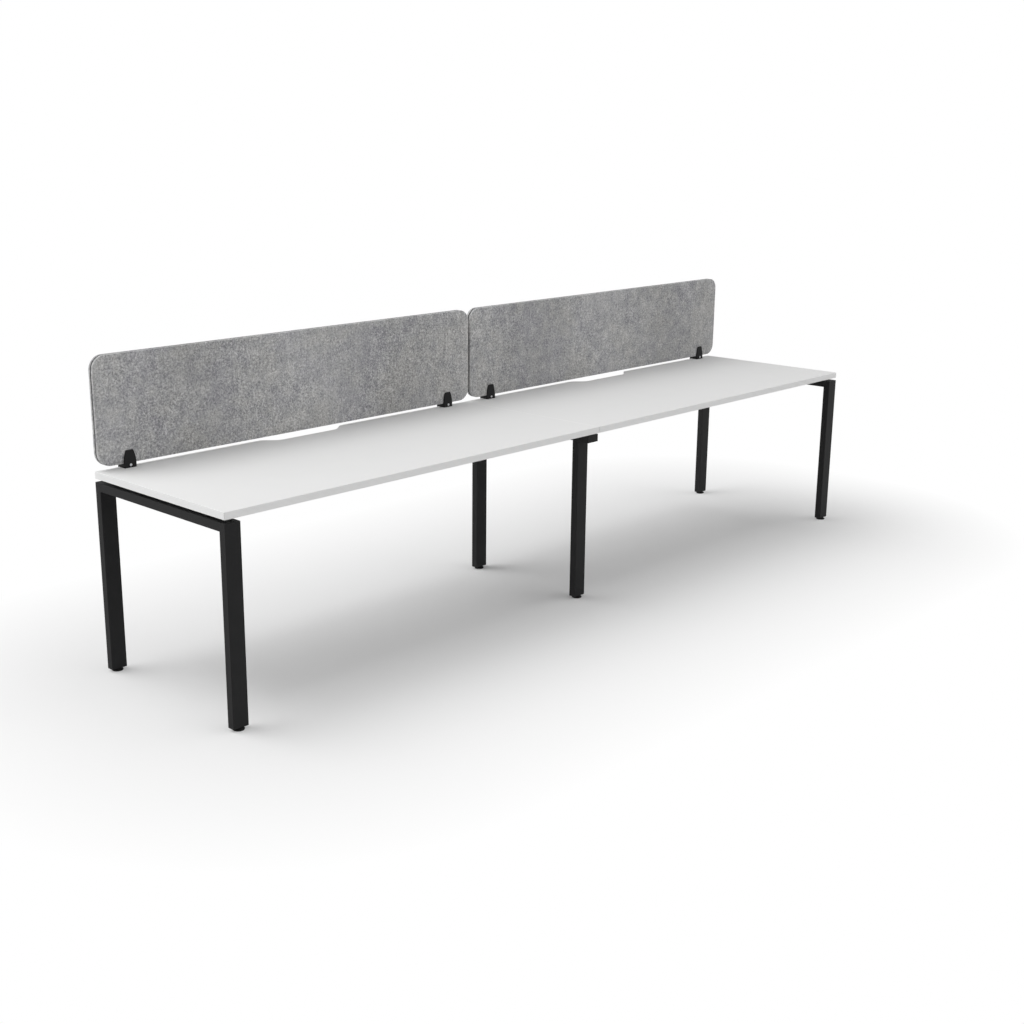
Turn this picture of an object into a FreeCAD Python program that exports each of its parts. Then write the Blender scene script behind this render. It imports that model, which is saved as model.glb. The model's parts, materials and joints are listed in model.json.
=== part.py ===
# Single-sided office workstation: two worktops side by side on three leg frames, with a felt screen
# clamped along the rear edge of each worktop.
# Origin on the floor at the middle of the run, +X along the run, +Y to the rear, +Z up, millimetres.
import FreeCAD
import Part
import math
import os

vec = FreeCAD.Vector

# Worktops
top_length = 1800.0
top_depth = 750.0
top_thickness = 25.0
top_height = 730.0
top_corner = 3.0
edging_thickness = 2.0
edging_round = 1.0
scallop_mouth = 400.0
scallop_run = 60.0
scallop_depth = 50.0
scallop_mouth_radius = 20.0
scallop_floor_radius = 40.0

# Rectangular tube shared by the legs, the rails and the beams: the wide side runs along the rail's width
tube_width = 60.0
tube_depth = 30.0
tube_wall = 2.0
tube_corner = 1.5

# Leg frames
top_gap = 12.0
middle_leg_setback = 80.0
middle_rail_setback = 30.0
insert_fit = 0.2
insert_wall = 2.5
cap_flange = 2.0
cap_depth = 14.0
plug_flange = 2.0
plug_depth = 26.0
plug_boss = 18.0

# Levelling feet
pad_diameter = 40.0
pad_height = 7.0
pad_rim = 4.0
pad_hub = 22.0
pad_edge = 1.5
stud_diameter = 8.0
stud_length = 34.0
stud_foot_diameter = 13.0
stud_foot_height = 3.0
stud_point = 1.0
hex_across = 13.0
hex_height = 2.7
thread_clearance = 0.1
swivel_clearance = 0.1
stop_gap = 0.2

# Beams between the frames
beam_offset = 175.0
plate_thickness = 4.0
bolt_diameter = 8.0
bolt_margin = 14.0
bolt_reach = 18.0
bolt_head_across = 13.0
bolt_head_height = 5.5
hole_clearance = 0.3
rivet_diameter = 11.0
rivet_length = 15.0

# Worktop fixings
spacer_diameter = 20.0
rail_spacer_offset = 280.0
beam_spacer_offset = 600.0
screw_diameter = 6.0
screw_grip = 15.0
screw_head_diameter = 12.0
screw_head_height = 4.0

# Felt screens
screen_gap = 12.0
screen_height = 384.0
screen_lift = 16.0
screen_inset = 4.0
screen_corner = 50.0
skin_thickness = 10.0
skin_round = 2.0
core_thickness = 7.0
core_recess = 1.0

# Screen brackets
bracket_outer_inset = 121.0
bracket_inner_inset = 126.0
jaw_thickness = 7.0
jaw_tip_thickness = 4.5
jaw_base_width = 47.0
jaw_tip_width = 28.0
jaw_straight = 17.0
jaw_height = 62.0
jaw_corner = 3.0
jaw_edge = 1.0
lip_thickness = 8.0
lip_drop = 15.0
lip_slope = 7.0
lip_corner = 4.0
clamp_screw_diameter = 5.0
clamp_screw_grip = 16.0
clamp_head_diameter = 9.5
clamp_head_crown = 5.7
clamp_head_height = 2.8
clamp_socket_across = 3.0
clamp_socket_depth = 1.6
wood_screw_diameter = 4.0
wood_screw_head = 8.0
wood_screw_length = 33.0
wood_screw_margin = 9.5

# Derived places
front = -top_depth / 2
rear = top_depth / 2
top_under = top_height - top_thickness
frame_top = top_under - top_gap
rail_under = frame_top - tube_depth
hex_base = pad_height + swivel_clearance
leg_clearance = hex_base + hex_height + stop_gap
leg_bottom = leg_clearance + plug_flange
stud_foot_base = (pad_height - stud_foot_height) / 2
rail_middle = frame_top - tube_depth / 2
end_rail_x = top_length - tube_width / 2
screen_length = top_length - screen_gap / 2
screen_thickness = 2 * skin_thickness + core_thickness
screen_rear = rear - screen_inset
screen_front = screen_rear - screen_thickness
screen_under = top_height + screen_lift
beam_start = tube_width / 2 + plate_thickness
beam_end = top_length - tube_width - plate_thickness
bolt_offset = tube_width / 2 + bolt_margin
plate_length = tube_width + 4 * bolt_margin
clamp_screw_height = 0.6 * screen_lift
wood_screw_offset = jaw_base_width / 2 - wood_screw_margin


def rounded_wire(corners):
    """Closed wire in the XY plane through (x, y, radius) corners, each rounded by its radius."""
    edges = []
    joints = []
    count = len(corners)
    for i in range(count):
        x, y, radius = corners[i]
        here = vec(x, y, 0)
        before = (vec(*corners[i - 1][:2], 0) - here).normalize()
        after = (vec(*corners[(i + 1) % count][:2], 0) - here).normalize()
        half_angle = before.getAngle(after) / 2
        if radius <= 0:
            joints.append((here, None, here))
            continue
        reach = radius / math.tan(half_angle)
        inward = (before + after).normalize()
        middle = here + inward * (radius / math.sin(half_angle) - radius)
        joints.append((here + before * reach, middle, here + after * reach))
    for i in range(count):
        start, middle, end = joints[i]
        if middle is not None:
            edges.append(Part.Arc(start, middle, end).toShape())
        following = joints[(i + 1) % count][0]
        edges.append(Part.makeLine(end, following))
    return Part.Wire(edges)


def rectangle(width, depth, radius):
    """Rounded rectangle centred on the origin of the XY plane."""
    x = width / 2
    y = depth / 2
    return rounded_wire([(-x, -y, radius), (x, -y, radius), (x, y, radius), (-x, y, radius)])


def prism(wire, height):
    return Part.Face(wire).extrude(vec(0, 0, height))


def moved(shape, x=0.0, y=0.0, z=0.0):
    copy = shape.copy()
    copy.translate(vec(x, y, z))
    return copy


def turned(shape, axis, degrees):
    copy = shape.copy()
    copy.rotate(vec(0, 0, 0), axis, degrees)
    return copy


def rod(diameter, start, direction, length):
    return Part.makeCylinder(diameter / 2, length, start, direction)


def hexagon(across, height):
    """Hexagonal prism along Z, from z = 0."""
    radius = across / math.sqrt(3)
    angles = [k * math.pi / 3 for k in range(7)]
    points = [vec(radius * math.cos(a), radius * math.sin(a), 0) for a in angles]
    return prism(Part.makePolygon(points), height)


def tube(width, depth, length):
    """Rectangular tube along Z, from z = 0."""
    outside = prism(rectangle(width, depth, tube_corner), length)
    bore_corner = max(tube_corner - tube_wall, 0.0)
    bore = prism(rectangle(width - 2 * tube_wall, depth - 2 * tube_wall, bore_corner), length)
    return outside.cut(bore)


def insert_body(depth):
    """Outside of a plastic insert that fits the bore of the tube, along Z from z = 0."""
    width = tube_width - 2 * tube_wall - 2 * insert_fit
    height = tube_depth - 2 * tube_wall - 2 * insert_fit
    return prism(rectangle(width, height, max(tube_corner - tube_wall, 0.0)), depth)


# Where the legs stand: frame name, position along the run, front face of the front leg
frames = {
    "left": (-end_rail_x, front),
    "middle": (0.0, front + middle_leg_setback),
    "right": (end_rail_x, front),
}
leg_places = {}
for frame_name, (frame_x, face) in frames.items():
    leg_places[frame_name, "front"] = (frame_x, face + tube_depth / 2)
    leg_places[frame_name, "rear"] = (frame_x, -face - tube_depth / 2)

beam_places = {}
for bay, side in (("left", -1), ("right", 1)):
    beam_places[bay, "front"] = (side, -beam_offset)
    beam_places[bay, "rear"] = (side, beam_offset)


def spacer_points():
    """Centres of the spacers, (x, y), on the end rails, in pairs on the middle rail, and on the beams."""
    points = []
    for y in (-rail_spacer_offset, 0.0, rail_spacer_offset):
        for side in (-1, 1):
            points.append((side * end_rail_x, y))
            points.append((side * tube_width / 4, y))
    beam_middle = (beam_start + beam_end) / 2
    for side, y in beam_places.values():
        for along in (-beam_spacer_offset, 0.0, beam_spacer_offset):
            points.append((side * beam_middle + along, y))
    return points


def fixing_holes(diameter, base, length):
    """Vertical holes at every worktop fixing."""
    return [rod(diameter, vec(x, y, base), vec(0, 0, 1), length) for x, y in spacer_points()]


def bolt_rows():
    """Beam bolts: the point where each bolt's head meets its plate, and the bolt's direction along X."""
    rows = []
    for side, y in beam_places.values():
        for offset in (-bolt_offset, bolt_offset):
            rows.append((vec(side * beam_start, y + offset, rail_middle), -side))
            rows.append((vec(side * beam_end, y + offset, rail_middle), side))
    return rows


def bracket_centres():
    """Middle of each bracket along the run: screen name, bracket name, x."""
    inner = screen_gap / 2 + bracket_inner_inset
    outer = top_length - bracket_outer_inset
    return {
        ("left", "outer"): -outer,
        ("left", "inner"): -inner,
        ("right", "inner"): inner,
        ("right", "outer"): outer,
    }


def top_outline():
    """Outline of one worktop about its own middle, with the cable scallop in the rear edge."""
    x = top_length / 2
    mouth = scallop_mouth / 2
    floor = mouth - scallop_run
    inner = rear - scallop_depth
    return rounded_wire([
        (-x, front, top_corner),
        (x, front, top_corner),
        (x, rear, top_corner),
        (mouth, rear, scallop_mouth_radius),
        (floor, inner, scallop_floor_radius),
        (-floor, inner, scallop_floor_radius),
        (-mouth, rear, scallop_mouth_radius),
        (-x, rear, top_corner),
    ])


def wood_screw_points():
    """Tops of the bracket's wood screws, two for each bracket, under the screen."""
    y = (screen_front + screen_rear) / 2
    centres = bracket_centres().values()
    return [vec(x + s * wood_screw_offset, y, screen_under) for x in centres for s in (-1, 1)]


def make_top(side):
    """Board and edging of one worktop."""
    outline = Part.Face(top_outline())
    board_face = outline.makeOffset2D(-edging_thickness)
    middle = side * top_length / 2
    board = moved(board_face.extrude(vec(0, 0, top_thickness)), middle, 0, top_under)
    ring = outline.cut(board_face).extrude(vec(0, 0, top_thickness))
    level = [edge for edge in ring.Edges if edge.BoundBox.ZLength < 1e-6]
    inside = board_face.extrude(vec(0, 0, top_thickness))
    rim = [edge for edge in level if edge.distToShape(inside)[0] > edging_round]
    edging = moved(ring.makeFillet(edging_round, rim), middle, 0, top_under)
    pilot = screw_diameter + 2 * thread_clearance
    wood_pilot = wood_screw_diameter + 2 * thread_clearance
    cuts = fixing_holes(pilot, top_under, screw_grip + 2 * thread_clearance)
    depth = wood_screw_length - screen_lift + 2 * thread_clearance
    for point in wood_screw_points():
        cuts.append(rod(wood_pilot, vec(point.x, point.y, top_height - depth), vec(0, 0, 1), depth))
    return board.cut(cuts), edging


def make_leg(place, top):
    x, y = place
    return moved(tube(tube_width, tube_depth, top - leg_bottom), x, y, leg_bottom)


def wedge(x, points):
    """Prism through the whole width of a frame at x, with its profile given as (y, z) points."""
    wire = Part.makePolygon([vec(x - tube_width, y, z) for y, z in points + points[:1]])
    return Part.Face(wire).extrude(vec(2 * tube_width, 0, 0))


def make_end_frame(frame_name):
    """Front leg, rear leg and rail of an end frame, mitred together at the two top corners."""
    x = frames[frame_name][0]
    front_leg = make_leg(leg_places[frame_name, "front"], frame_top)
    rear_leg = make_leg(leg_places[frame_name, "rear"], frame_top)
    rail = moved(turned(tube(tube_width, tube_depth, top_depth), vec(1, 0, 0), -90), x, front, rail_middle)
    for sign in (-1, 1):
        outer = sign * rear
        inner = sign * (rear - tube_depth)
        above = wedge(x, [(outer, frame_top), (inner, frame_top), (inner, rail_under)])
        below = wedge(x, [(outer, frame_top), (outer, rail_under), (inner, rail_under)])
        rail = rail.cut(below)
        if sign < 0:
            front_leg = front_leg.cut(above)
        else:
            rear_leg = rear_leg.cut(above)
    return front_leg, rear_leg, drilled_rail(rail)


def make_middle_frame():
    """Front leg, rear leg and rail of the middle frame: the rail lies across the two recessed legs."""
    front_leg = make_leg(leg_places["middle", "front"], rail_under)
    rear_leg = make_leg(leg_places["middle", "rear"], rail_under)
    start = front + middle_rail_setback + cap_flange
    rail = moved(turned(tube(tube_width, tube_depth, -2 * start), vec(1, 0, 0), -90), 0, start, rail_middle)
    return front_leg, rear_leg, drilled_rail(rail)


def drilled_rail(rail):
    """A rail with its worktop fixing holes and its rivet nut holes."""
    cuts = fixing_holes(screw_diameter + 2 * hole_clearance, rail_under, tube_depth)
    for point, direction in bolt_rows():
        wall = point + vec(direction * plate_thickness, 0, 0)
        cuts.append(rod(rivet_diameter + 2 * thread_clearance, wall, vec(direction, 0, 0), tube_wall))
    return rail.cut(cuts)


def make_rail_cap(sign):
    """End cap of the middle rail: a flange over the tube's end and a hollow insert in its bore."""
    body = insert_body(cap_depth)
    hollow_width = tube_width - 2 * (tube_wall + insert_fit + insert_wall)
    hollow_depth = tube_depth - 2 * (tube_wall + insert_fit + insert_wall)
    body = body.cut(prism(rectangle(hollow_width, hollow_depth, 0), cap_depth))
    cap = prism(rectangle(tube_width, tube_depth, tube_corner), cap_flange).fuse(moved(body, z=cap_flange))
    end = rear - middle_rail_setback
    return moved(turned(cap, vec(1, 0, 0), sign * 90), 0, sign * end, rail_middle).removeSplitter()


def make_leg_plug(place):
    """Plug in the foot of a leg: a flange under the tube, and an insert with a threaded boss."""
    x, y = place
    body = insert_body(plug_depth)
    pocket_depth = tube_depth - 2 * (tube_wall + insert_fit + insert_wall)
    pocket_length = (tube_width - plug_boss) / 2 - tube_wall - insert_fit - insert_wall
    pocket = prism(rectangle(pocket_length, pocket_depth, 0), plug_depth)
    for sign in (-1, 1):
        body = body.cut(moved(pocket, sign * (plug_boss + pocket_length) / 2, 0, insert_wall))
    plug = prism(rectangle(tube_width, tube_depth, tube_corner), plug_flange).fuse(moved(body, z=plug_flange))
    bore = rod(stud_diameter + 2 * thread_clearance, vec(0, 0, 0), vec(0, 0, 1), plug_flange + plug_depth)
    return moved(plug.cut(bore).removeSplitter(), x, y, leg_clearance)


def make_foot_pad(place):
    """Round glide pad with a domed top and a socket that holds the stud's foot."""
    radius = pad_diameter / 2
    hub = pad_hub / 2
    profile = Part.Wire([
        Part.makeLine(vec(0, 0, 0), vec(radius - pad_edge, 0, 0)),
        Part.Arc(
            vec(radius - pad_edge, 0, 0),
            vec(radius - pad_edge * (1 - math.sqrt(0.5)), 0, pad_edge * (1 - math.sqrt(0.5))),
            vec(radius, 0, pad_edge),
        ).toShape(),
        Part.makeLine(vec(radius, 0, pad_edge), vec(radius, 0, pad_rim)),
        Part.makeLine(vec(radius, 0, pad_rim), vec(hub, 0, pad_height)),
        Part.makeLine(vec(hub, 0, pad_height), vec(0, 0, pad_height)),
        Part.makeLine(vec(0, 0, pad_height), vec(0, 0, 0)),
    ])
    pad = Part.Face(profile).revolve(vec(0, 0, 0), vec(0, 0, 1), 360)
    socket = rod(
        stud_foot_diameter + 2 * swivel_clearance,
        vec(0, 0, stud_foot_base - swivel_clearance),
        vec(0, 0, 1),
        stud_foot_height + 2 * swivel_clearance,
    )
    neck = rod(stud_diameter + 2 * swivel_clearance, vec(0, 0, stud_foot_base), vec(0, 0, 1), pad_height)
    return moved(pad.cut([socket, neck]), *place)


def make_foot_stud(place):
    """Threaded stud: a foot in the pad's socket, a hexagon under the leg, and a shank in the leg plug."""
    radius = stud_diameter / 2
    shoulder = hex_base + stud_length - stud_point
    foot = rod(stud_foot_diameter, vec(0, 0, stud_foot_base), vec(0, 0, 1), stud_foot_height)
    shank = rod(stud_diameter, vec(0, 0, stud_foot_base), vec(0, 0, 1), shoulder - stud_foot_base)
    point = Part.makeCone(radius, radius - stud_point, stud_point, vec(0, 0, shoulder))
    collar = moved(hexagon(hex_across, hex_height), z=hex_base)
    return moved(shank.fuse([foot, point, collar]), *place)


def make_beam(side, y):
    """Beam tube of one bay, with its worktop fixing holes."""
    length = beam_end - beam_start
    start = beam_start if side > 0 else -beam_end
    beam = moved(turned(tube(tube_depth, tube_width, length), vec(0, 1, 0), 90), start, y, rail_middle)
    return beam.cut(fixing_holes(screw_diameter + 2 * hole_clearance, rail_under, tube_depth))


def make_end_plates():
    """Plates welded to the beams' ends, each bolted flat against the side of a rail."""
    corner = vec(0, -plate_length / 2, -tube_depth / 2)
    plate = Part.makeBox(plate_thickness, plate_length, tube_depth, corner)
    holes = []
    for point, direction in bolt_rows():
        holes.append(rod(bolt_diameter + 2 * hole_clearance, point, vec(direction, 0, 0), plate_thickness))
    plates = []
    for side, y in beam_places.values():
        for x in (side * (beam_start - plate_thickness / 2), side * (beam_end + plate_thickness / 2)):
            plates.append(moved(plate, x - plate_thickness / 2, y, rail_middle).cut(holes))
    return Part.makeCompound(plates)


def make_beam_bolts():
    """Hexagon bolts through the end plates into the rivet nuts."""
    bolts = []
    shank = rod(bolt_diameter, vec(0, 0, 0), vec(0, 0, 1), bolt_reach + plate_thickness)
    bolt = moved(hexagon(bolt_head_across, bolt_head_height), z=-bolt_head_height).fuse(shank)
    for point, direction in bolt_rows():
        bolts.append(moved(turned(bolt, vec(0, 1, 0), direction * 90), point.x, point.y, point.z))
    return Part.makeCompound(bolts)


def make_rivet_nuts():
    """Flush rivet nuts in the rails' side walls."""
    nuts = []
    body = rod(rivet_diameter, vec(0, 0, 0), vec(0, 0, 1), rivet_length)
    nut = body.cut(rod(bolt_diameter + 2 * thread_clearance, vec(0, 0, 0), vec(0, 0, 1), rivet_length))
    for point, direction in bolt_rows():
        x = point.x + direction * plate_thickness
        nuts.append(moved(turned(nut, vec(0, 1, 0), direction * 90), x, point.y, point.z))
    return Part.makeCompound(nuts)


def make_spacers():
    """Round spacers between the frame and the worktops."""
    ring = rod(spacer_diameter, vec(0, 0, 0), vec(0, 0, 1), top_gap)
    ring = ring.cut(rod(screw_diameter + 2 * hole_clearance, vec(0, 0, 0), vec(0, 0, 1), top_gap))
    return Part.makeCompound([moved(ring, x, y, frame_top) for x, y in spacer_points()])


def make_top_screws():
    """Screws from under the rails and beams, through the spacers into the worktops."""
    head = rod(screw_head_diameter, vec(0, 0, -screw_head_height), vec(0, 0, 1), screw_head_height)
    shank = rod(screw_diameter, vec(0, 0, 0), vec(0, 0, 1), tube_depth + top_gap + screw_grip)
    screw = head.fuse(shank)
    return Part.makeCompound([moved(screw, x, y, rail_under) for x, y in spacer_points()])


def screen_middle(side):
    """Middle of a screen along the run: its outer end is flush with the worktop's."""
    return side * (top_length - screen_length / 2)


def panel(length, height, corner, thickness):
    """Upright panel with round corners, centred on X, its foot at z = 0 and its front face at y = 0."""
    flat = prism(moved(rectangle(length, height, corner), 0, height / 2), thickness)
    return moved(turned(flat, vec(1, 0, 0), 90), 0, thickness, 0)


def make_screen(side):
    """Front skin, core and rear skin of one screen."""
    x = screen_middle(side)
    skin = panel(screen_length, screen_height, screen_corner, skin_thickness)
    rim = [edge for edge in skin.Edges if abs(edge.BoundBox.YMax) < 1e-6]
    front_skin = skin.makeFillet(skin_round, rim)
    rear_skin = turned(front_skin, vec(0, 0, 1), 180)
    inner_length = screen_length - 2 * core_recess
    inner_height = screen_height - 2 * core_recess
    core = panel(inner_length, inner_height, screen_corner - core_recess, core_thickness)
    return (
        moved(front_skin, x, screen_front, screen_under),
        moved(core, x, screen_front + skin_thickness, screen_under + core_recess),
        moved(rear_skin, x, screen_rear, screen_under),
    )


def jaw():
    """Tapered jaw: straight sides low down run smoothly into arcs up to a rounded tip, with its flat grip
    face at y = 0 and its other face leaning back from the foot to the tip."""
    base = jaw_base_width / 2
    tip = jaw_tip_width / 2
    rise = jaw_height - jaw_straight
    radius = ((base - tip) ** 2 + rise ** 2) / (2 * (base - tip))
    waist = base - radius + math.sqrt(radius ** 2 - rise ** 2 / 4)
    waist_height = jaw_straight + rise / 2
    outline = Part.Wire([
        Part.makeLine(vec(-base, 0, 0), vec(base, 0, 0)),
        Part.makeLine(vec(base, 0, 0), vec(base, jaw_straight, 0)),
        Part.Arc(
            vec(base, jaw_straight, 0),
            vec(waist, waist_height, 0),
            vec(tip, jaw_height, 0),
        ).toShape(),
        Part.makeLine(vec(tip, jaw_height, 0), vec(-tip, jaw_height, 0)),
        Part.Arc(
            vec(-tip, jaw_height, 0),
            vec(-waist, waist_height, 0),
            vec(-base, jaw_straight, 0),
        ).toShape(),
        Part.makeLine(vec(-base, jaw_straight, 0), vec(-base, 0, 0)),
    ])
    blade = turned(prism(outline, jaw_thickness), vec(1, 0, 0), 90)
    high = [edge for edge in blade.Edges if edge.BoundBox.ZMin > jaw_height - 1e-3]
    corners = [edge for edge in high if edge.BoundBox.XLength < 1e-3]
    blade = blade.makeFillet(jaw_corner, corners)
    foot = vec(-base, -jaw_thickness, 0)
    lean_points = [foot, foot + vec(0, 0, jaw_height), vec(-base, -jaw_tip_thickness, jaw_height), foot]
    shaving = Part.Face(Part.makePolygon(lean_points)).extrude(vec(jaw_base_width, 0, 0))
    blade = blade.cut(shaving)
    rim = [edge for edge in blade.Edges if edge.BoundBox.YMax < -jaw_edge and edge.BoundBox.ZMax > jaw_edge]
    return blade.makeFillet(jaw_edge, rim)


def clamp_seat(centre):
    """Where a clamp screw's head sits: a flat spot sunk in the leaning face of the clamp plate."""
    above_head = clamp_screw_height + clamp_head_diameter
    thickness = jaw_thickness - (jaw_thickness - jaw_tip_thickness) * above_head / jaw_height
    return vec(centre, screen_front - thickness, top_height + clamp_screw_height)


def lip(centre):
    """Lip of a bracket: it hooks over the worktop's rear edge, and its top slopes up to the rear jaw."""
    base = jaw_base_width / 2
    foot = top_height - lip_drop
    outline = rounded_wire([
        (-base, foot, lip_corner),
        (base, foot, lip_corner),
        (base, screen_under, 0),
        (-base, screen_under, 0),
    ])
    outside = rear + lip_thickness
    slab = turned(prism(outline, lip_thickness + jaw_tip_thickness), vec(1, 0, 0), 90)
    slab = moved(slab, centre, outside, 0)
    back = [edge for edge in slab.Edges if edge.BoundBox.YMin > outside - 1e-3]
    crest = [edge for edge in back if edge.BoundBox.ZMin > screen_under - 1e-3]
    slab = slab.makeChamfer(lip_slope, crest)
    rim = [edge for edge in slab.Edges if edge.BoundBox.YMin > outside - 1e-3]
    slab = slab.makeFillet(jaw_edge, rim)
    board = Part.makeBox(jaw_base_width, top_depth, lip_drop, vec(centre - base, front, foot))
    return slab.cut(board)


def make_bracket(centre):
    """Body of a bracket, a block under the screen with the rear jaw and lip, and the front clamp plate."""
    corner = vec(centre - jaw_base_width / 2, screen_front, top_height)
    block = Part.makeBox(jaw_base_width, screen_thickness, screen_lift, corner)
    rear_jaw = moved(turned(jaw(), vec(0, 0, 1), 180), centre, screen_rear, top_height)
    mouth = vec(centre, screen_front, top_height + clamp_screw_height)
    thread_depth = clamp_screw_grip + thread_clearance
    thread = rod(clamp_screw_diameter + 2 * thread_clearance, mouth, vec(0, 1, 0), thread_depth)
    body = block.fuse([rear_jaw, lip(centre)]).cut(thread)
    for point in wood_screw_points():
        if abs(point.x - centre) < jaw_base_width:
            body = body.cut(countersunk(point, thread_clearance))
    seat = clamp_seat(centre)
    hole = rod(clamp_screw_diameter + 2 * hole_clearance, seat, vec(0, 1, 0), jaw_thickness)
    spot = rod(clamp_head_diameter + 2 * hole_clearance, seat, vec(0, -1, 0), jaw_thickness)
    plate = moved(jaw(), centre, screen_front, top_height).cut([hole, spot])
    return body.removeSplitter(), plate


def countersunk(point, clearance):
    """Countersunk wood screw pointing down from its head's top, grown by a clearance for its hole."""
    shank_radius = wood_screw_diameter / 2 + clearance
    head_radius = wood_screw_head / 2 + clearance
    depth = head_radius - shank_radius
    cone = Part.makeCone(head_radius, shank_radius, depth, point, vec(0, 0, -1))
    return cone.fuse(rod(2 * shank_radius, point, vec(0, 0, -1), wood_screw_length + clearance))


def make_clamp_screws():
    """Socket screws through the clamp plates into the bracket bodies."""
    socket = turned(hexagon(clamp_socket_across, clamp_socket_depth), vec(1, 0, 0), -90)
    screws = []
    for centre in bracket_centres().values():
        seat = clamp_seat(centre)
        crown = seat - vec(0, clamp_head_height, 0)
        base_radius = clamp_head_diameter / 2
        crown_radius = clamp_head_crown / 2
        head = Part.makeCone(base_radius, crown_radius, clamp_head_height, seat, vec(0, -1, 0))
        shank = rod(clamp_screw_diameter, seat, vec(0, 1, 0), screen_front - seat.y + clamp_screw_grip)
        screws.append(head.cut(moved(socket, crown.x, crown.y, crown.z)).fuse(shank))
    return Part.makeCompound(screws)


def make_wood_screws():
    """Wood screws that hold the bracket bodies down on the worktops."""
    return Part.makeCompound([countersunk(point, 0.0) for point in wood_screw_points()])


def build():
    nodes = {}
    for name, side in (("left", -1), ("right", 1)):
        nodes[name + "_top_board"], nodes[name + "_top_edging"] = make_top(side)
        skins = make_screen(side)
        for piece, shape in zip(("front_felt", "core", "rear_felt"), skins):
            nodes[f"{name}_screen_{piece}"] = shape
    for frame_name in frames:
        pieces = make_middle_frame() if frame_name == "middle" else make_end_frame(frame_name)
        for piece, shape in zip(("front_leg", "rear_leg", "rail"), pieces):
            nodes[f"{frame_name}_frame_{piece}"] = shape
    nodes["middle_rail_front_cap"] = make_rail_cap(-1)
    nodes["middle_rail_rear_cap"] = make_rail_cap(1)
    for (frame_name, end), place in leg_places.items():
        nodes[f"{frame_name}_{end}_leg_plug"] = make_leg_plug(place)
        nodes[f"{frame_name}_{end}_foot_pad"] = make_foot_pad(place)
        nodes[f"{frame_name}_{end}_foot_stud"] = make_foot_stud(place)
    for (bay, end), (side, y) in beam_places.items():
        nodes[f"{bay}_{end}_beam"] = make_beam(side, y)
    nodes["beam_end_plates"] = make_end_plates()
    nodes["beam_bolts"] = make_beam_bolts()
    nodes["beam_rivet_nuts"] = make_rivet_nuts()
    nodes["top_spacers"] = make_spacers()
    nodes["top_screws"] = make_top_screws()
    for (screen, end), centre in bracket_centres().items():
        body, plate = make_bracket(centre)
        nodes[f"{screen}_screen_{end}_bracket"] = body
        nodes[f"{screen}_screen_{end}_clamp_plate"] = plate
    nodes["clamp_screws"] = make_clamp_screws()
    nodes["bracket_wood_screws"] = make_wood_screws()
    return nodes


os.makedirs("parts", exist_ok=True)
for node, shape in build().items():
    shape.exportStep(f"parts/{node}.step")
    print(node, len(shape.Solids), "solids", round(shape.Volume), "mm3", "valid", shape.isValid())
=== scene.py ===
import bpy
import json
import math
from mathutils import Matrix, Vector


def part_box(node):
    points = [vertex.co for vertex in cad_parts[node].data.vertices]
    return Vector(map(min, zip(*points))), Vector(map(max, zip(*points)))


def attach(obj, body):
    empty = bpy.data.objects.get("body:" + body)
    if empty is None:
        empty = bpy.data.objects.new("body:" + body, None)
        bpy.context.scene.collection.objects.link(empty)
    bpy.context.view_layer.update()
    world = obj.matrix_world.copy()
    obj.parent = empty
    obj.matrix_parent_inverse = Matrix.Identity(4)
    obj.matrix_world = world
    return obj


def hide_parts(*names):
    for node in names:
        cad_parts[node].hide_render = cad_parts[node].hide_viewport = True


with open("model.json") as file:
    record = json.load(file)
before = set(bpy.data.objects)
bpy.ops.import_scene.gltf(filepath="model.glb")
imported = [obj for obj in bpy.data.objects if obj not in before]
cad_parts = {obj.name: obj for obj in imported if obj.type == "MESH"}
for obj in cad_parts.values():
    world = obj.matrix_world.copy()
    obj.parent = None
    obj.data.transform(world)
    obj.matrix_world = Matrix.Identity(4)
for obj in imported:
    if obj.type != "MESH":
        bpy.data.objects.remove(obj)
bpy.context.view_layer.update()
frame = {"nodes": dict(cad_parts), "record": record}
nodes = frame["nodes"]
scene = bpy.context.scene
print("frame loaded:", len(nodes), "nodes")

mmPerMetre = 1000  # small pieces are drawn in millimetres
noiseMiddle = 0.5
noiseSpan = (0.3, 0.7)  # where most of a noise lies


# selecting and placing, as by hand

def clearSelection():
    if bpy.context.object and bpy.context.object.mode != "OBJECT":
        bpy.ops.object.mode_set(mode="OBJECT")
    bpy.ops.object.select_all(action="DESELECT")


def keepOnly(piece):
    clearSelection()
    piece.select_set(True)
    bpy.context.view_layer.objects.active = piece


def openAll(piece):
    keepOnly(piece)
    bpy.ops.object.mode_set(mode="EDIT")
    bpy.ops.mesh.select_all(action="SELECT")


def closeUp():
    bpy.ops.object.mode_set(mode="OBJECT")


def pickEdges(piece, wanted):
    keepOnly(piece)
    bpy.ops.object.mode_set(mode="EDIT")
    bpy.ops.mesh.select_mode(type="EDGE")
    bpy.ops.mesh.select_all(action="DESELECT")
    closeUp()
    points = piece.data.vertices
    for edge in piece.data.edges:
        first, second = edge.vertices
        edge.select = wanted(points[first].co, points[second].co)
    bpy.ops.object.mode_set(mode="EDIT")


def applyPlace(piece):
    keepOnly(piece)
    bpy.ops.object.transform_apply(location=True, rotation=True, scale=True)


def applyModifier(piece, name):
    keepOnly(piece)
    bpy.ops.object.modifier_apply(modifier=name)


def discard(piece):
    keepOnly(piece)
    bpy.ops.object.delete()


def copyTo(piece, name, place, turn=(0, 0, 0)):
    keepOnly(piece)
    bpy.ops.object.duplicate()
    copy = bpy.context.object
    copy.name = name
    copy.location = place
    copy.rotation_euler = [math.radians(a) for a in turn]
    applyPlace(copy)
    return copy


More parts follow.
